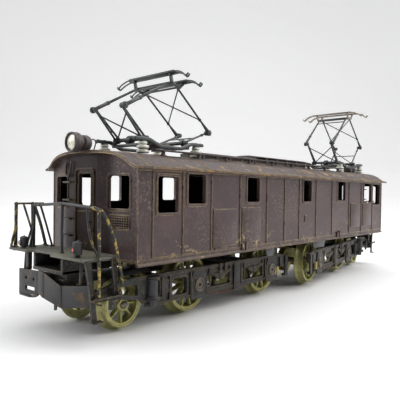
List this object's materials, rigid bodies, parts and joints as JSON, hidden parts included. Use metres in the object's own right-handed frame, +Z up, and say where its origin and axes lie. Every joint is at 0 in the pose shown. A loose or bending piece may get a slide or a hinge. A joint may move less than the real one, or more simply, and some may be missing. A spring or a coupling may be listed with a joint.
{
  "type": "model electric locomotive",
  "caption": "Model box-cab electric locomotive: hexagonal-ended body on two swivelling trucks with end decks and railings, spoked wheels, roof walks and two folding pantographs.",
  "frame": {"origin": "bottom centre of the bounding box, at the level of the wheel-flange bottoms; the body's own centre is 0.845 mm towards -X and 1.95 mm towards -Y of it, because the number two truck stands turned", "axes": "+Z up, X along the locomotive with the number one end at -X, +Y towards the left side seen when looking along +X"},
  "size_m": [0.1786, 0.0428, 0.0712],
  "materials": {
    "body_paint": "satin grape-brown paint, brass showing at worn edges",
    "headlamp_lens": "pale lamp jewel",
    "chassis_black": "worn satin black",
    "deck_paint": "worn matt grey-olive",
    "fittings_black": "satin black wire and strip, brass at worn spots",
    "steel": "plain turned steel",
    "ceramic_white": "glossy cream insulator",
    "brass": "tarnished olive brass"
  },
  "bodies": {
    "carbody": {"body_shell": "body_paint", "roof_shell": "body_paint", "floor_plate": "chassis_black", "kingpin_front": "steel", "kingpin_rear": "steel", "headlight_front": "body_paint", "headlight_lens_front": "headlamp_lens", "headlight_rear": "body_paint", "headlight_lens_rear": "headlamp_lens", "running_board_right": "body_paint", "running_board_left": "body_paint", "roof_ventilator": "body_paint", "pantograph_base_front": "fittings_black", "pantograph_base_rear": "fittings_black", "insulator_1_front": "ceramic_white", "insulator_2_front": "ceramic_white", "insulator_3_front": "ceramic_white", "insulator_4_front": "ceramic_white", "insulator_1_rear": "ceramic_white", "insulator_2_rear": "ceramic_white", "insulator_3_rear": "ceramic_white", "insulator_4_rear": "ceramic_white"},
    "truck_front": {"truck_frame_front": "chassis_black", "deck_front": "deck_paint", "pilot_front": "chassis_black", "railing_left_front": "fittings_black", "railing_right_front": "fittings_black", "marker_lamp_left_front": "fittings_black", "marker_lamp_right_front": "fittings_black", "steps_right_front": "chassis_black"},
    "truck_rear": {"truck_frame_rear": "chassis_black", "deck_rear": "deck_paint", "pilot_rear": "chassis_black", "railing_left_rear": "fittings_black", "railing_right_rear": "fittings_black", "marker_lamp_left_rear": "fittings_black", "marker_lamp_right_rear": "fittings_black", "steps_left_rear": "chassis_black", "steps_right_rear": "chassis_black", "motor_rear": "steel"},
    "wheelset_lead_front": {"wheelset_lead_front": "brass"},
    "wheelset_outer_front": {"wheelset_outer_front": "brass"},
    "wheelset_inner_front": {"wheelset_inner_front": "brass"},
    "wheelset_lead_rear": {"wheelset_lead_rear": "brass"},
    "wheelset_outer_rear": {"wheelset_outer_rear": "brass"},
    "wheelset_inner_rear": {"wheelset_inner_rear": "brass"},
    "worm_shaft_rear": {"worm_shaft_rear": "brass"},
    "lower_arm_front_front": {"lower_arm_front_front": "fittings_black"},
    "lower_arm_rear_front": {"lower_arm_rear_front": "fittings_black"},
    "upper_arm_front_front": {"upper_arm_front_front": "fittings_black"},
    "upper_arm_rear_front": {"upper_arm_rear_front": "fittings_black"},
    "contact_head_front": {"contact_head_front": "fittings_black"},
    "lower_arm_front_rear": {"lower_arm_front_rear": "fittings_black"},
    "lower_arm_rear_rear": {"lower_arm_rear_rear": "fittings_black"},
    "upper_arm_front_rear": {"upper_arm_front_rear": "fittings_black"},
    "upper_arm_rear_rear": {"upper_arm_rear_rear": "fittings_black"},
    "contact_head_rear": {"contact_head_rear": "fittings_black"}
  },
  "joints": [
    {"name": "truck_front_swivel", "type": "hinge", "parent": "carbody", "child": "truck_front", "pos_m": [-0.03945, -0.00195, 0.0155], "axis": [0, 0, 1], "range_deg": [-8.5, 8.5]},
    {"name": "truck_rear_swivel", "type": "hinge", "parent": "carbody", "child": "truck_rear", "pos_m": [0.03775, -0.00195, 0.0155], "axis": [0, 0, 1], "range_deg": [-16.5, 0.5]},
    {"name": "axle_lead_front", "type": "hinge", "parent": "truck_front", "child": "wheelset_lead_front", "pos_m": [-0.07325, -0.00195, 0.00655], "axis": [0, 1, 0], "continuous": true},
    {"name": "axle_outer_front", "type": "hinge", "parent": "truck_front", "child": "wheelset_outer_front", "pos_m": [-0.04985, -0.00195, 0.0088], "axis": [0, 1, 0], "continuous": true},
    {"name": "axle_inner_front", "type": "hinge", "parent": "truck_front", "child": "wheelset_inner_front", "pos_m": [-0.01345, -0.00195, 0.0088], "axis": [0, 1, 0], "continuous": true},
    {"name": "axle_lead_rear", "type": "hinge", "parent": "truck_rear", "child": "wheelset_lead_rear", "pos_m": [0.07123, 0.00275, 0.00655], "axis": [-0.1392, 0.9903, 0], "continuous": true},
    {"name": "axle_outer_rear", "type": "hinge", "parent": "truck_rear", "child": "wheelset_outer_rear", "pos_m": [0.04805, -0.0005, 0.0088], "axis": [-0.1392, 0.9903, 0], "continuous": true},
    {"name": "axle_inner_rear", "type": "hinge", "parent": "truck_rear", "child": "wheelset_inner_rear", "pos_m": [0.01201, -0.00557, 0.0088], "axis": [-0.1392, 0.9903, 0], "continuous": true},
    {"name": "worm_spin_rear", "type": "hinge", "parent": "truck_rear", "child": "worm_shaft_rear", "pos_m": [0.03775, -0.00195, 0.0155], "axis": [0.9903, 0.1392, 0], "continuous": true},
    {"name": "pantograph_front_fold", "type": "hinge", "parent": "carbody", "child": "lower_arm_front_front", "pos_m": [-0.06284, -0.00195, 0.0483], "axis": [0, 1, 0], "range_deg": [-35, 8]},
    {"name": "pantograph_front_lower_rear", "type": "hinge", "parent": "carbody", "child": "lower_arm_rear_front", "pos_m": [-0.04784, -0.00195, 0.0483], "axis": [0, 1, 0], "range_deg": [-2.71, 11.2]},
    {"name": "pantograph_front_knee_front", "type": "hinge", "parent": "lower_arm_front_front", "child": "upper_arm_front_front", "pos_m": [-0.07048, -0.00195, 0.05594], "axis": [0, 1, 0], "range_deg": [-9.49, 40.86]},
    {"name": "pantograph_front_knee_rear", "type": "hinge", "parent": "lower_arm_rear_front", "child": "upper_arm_rear_front", "pos_m": [-0.03776, -0.00195, 0.05217], "axis": [0, 1, 0], "range_deg": [-27.76, 6.5]},
    {"name": "pantograph_front_head", "type": "hinge", "parent": "upper_arm_front_front", "child": "contact_head_front", "pos_m": [-0.05461, -0.00195, 0.06442], "axis": [0, 1, 0], "range_deg": [-23.66, 5.56]},
    {"name": "pantograph_rear_fold", "type": "hinge", "parent": "carbody", "child": "lower_arm_front_rear", "pos_m": [0.05266, -0.00195, 0.0483], "axis": [0, 1, 0], "range_deg": [-39, 11]},
    {"name": "pantograph_rear_lower_rear", "type": "hinge", "parent": "carbody", "child": "lower_arm_rear_rear", "pos_m": [0.06766, -0.00195, 0.0483], "axis": [0, 1, 0], "range_deg": [-11.2, 39.2]},
    {"name": "pantograph_rear_knee_front", "type": "hinge", "parent": "lower_arm_front_rear", "child": "upper_arm_front_rear", "pos_m": [0.04557, -0.00195, 0.05645], "axis": [0, 1, 0], "range_deg": [-17.1, 60.12]},
    {"name": "pantograph_rear_knee_rear", "type": "hinge", "parent": "lower_arm_rear_rear", "child": "upper_arm_rear_rear", "pos_m": [0.07474, -0.00195, 0.05645], "axis": [0, 1, 0], "range_deg": [-60.12, 17.1]},
    {"name": "pantograph_rear_head", "type": "hinge", "parent": "upper_arm_front_rear", "child": "contact_head_rear", "pos_m": [0.05865, -0.00195, 0.06881], "axis": [0, 1, 0], "range_deg": [-21.12, 6.1]}
  ],
  "couplings": [
    {"joint": "worm_spin_rear", "follows": "axle_inner_rear", "ratio": 15},
    {"joint": "pantograph_front_lower_rear", "follows": "pantograph_front_fold", "ratio": -0.31429},
    {"joint": "pantograph_front_knee_front", "follows": "pantograph_front_fold", "ratio": -1.1618},
    {"joint": "pantograph_front_knee_rear", "follows": "pantograph_front_fold", "ratio": 0.78749},
    {"joint": "pantograph_front_head", "follows": "pantograph_front_fold", "ratio": 0.67033},
    {"joint": "pantograph_rear_lower_rear", "follows": "pantograph_rear_fold", "ratio": -1},
    {"joint": "pantograph_rear_knee_front", "follows": "pantograph_rear_fold", "ratio": -1.5364},
    {"joint": "pantograph_rear_knee_rear", "follows": "pantograph_rear_fold", "ratio": 1.5364},
    {"joint": "pantograph_rear_head", "follows": "pantograph_rear_fold", "ratio": 0.53636}
  ]
}
